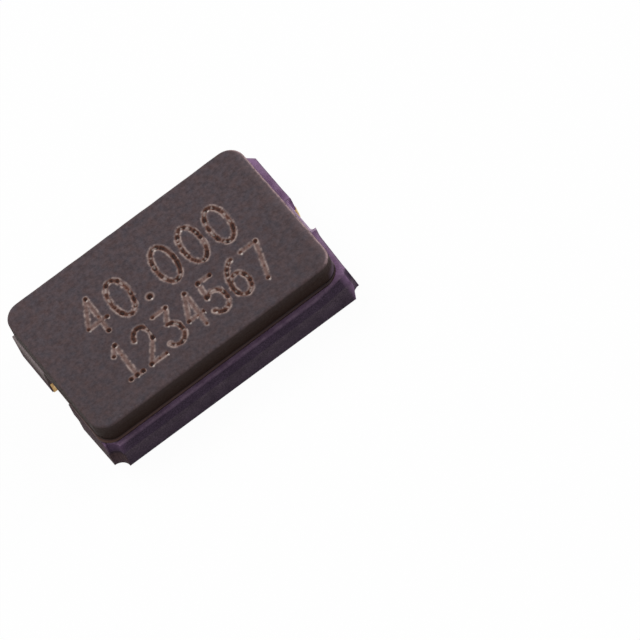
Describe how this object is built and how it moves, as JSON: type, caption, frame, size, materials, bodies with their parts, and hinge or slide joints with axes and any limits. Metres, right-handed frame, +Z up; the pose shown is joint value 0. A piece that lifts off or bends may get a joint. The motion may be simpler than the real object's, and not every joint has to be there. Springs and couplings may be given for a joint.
{
  "type": "surface-mount quartz crystal",
  "caption": "Surface-mount quartz crystal in a glass-sealed ceramic package: dark base with plated end slots and solder pads, flat pressed lid, quartz blank inside.",
  "frame": {"origin": "middle of the mounting plane, where the solder pads rest on the board, under the centre of the package", "axes": "+X along the package's length, +Y across it, +Z up from the mounting plane through the lid"},
  "size_m": [0.005, 0.0032, 0.0012],
  "materials": {
    "base_ceramic": "fired dark purple alumina, matte",
    "lid_ceramic": "pressed dark grey-brown alumina, matte and fine-grained",
    "seal_glass": "opaque brown sealing glass, satin",
    "gold_plating": "grainy matte gold plating",
    "lead_metal": "thin printed and gold-plated film, matte",
    "silver_adhesive": "cured silver-filled adhesive, dull grey",
    "quartz": "lapped clear quartz",
    "electrode_film": "evaporated silver film, bright"
  },
  "bodies": {
    "root": {"ceramic_base": "base_ceramic", "ceramic_lid": "lid_ceramic", "glass_seal": "seal_glass", "terminal_left": "gold_plating", "terminal_right": "gold_plating", "inner_lead_near": "lead_metal", "inner_lead_far": "lead_metal", "adhesive_dot_near": "silver_adhesive", "adhesive_dot_far": "silver_adhesive", "quartz_blank": "quartz", "electrode_top": "electrode_film", "electrode_bottom": "electrode_film"}
  },
  "joints": []
}
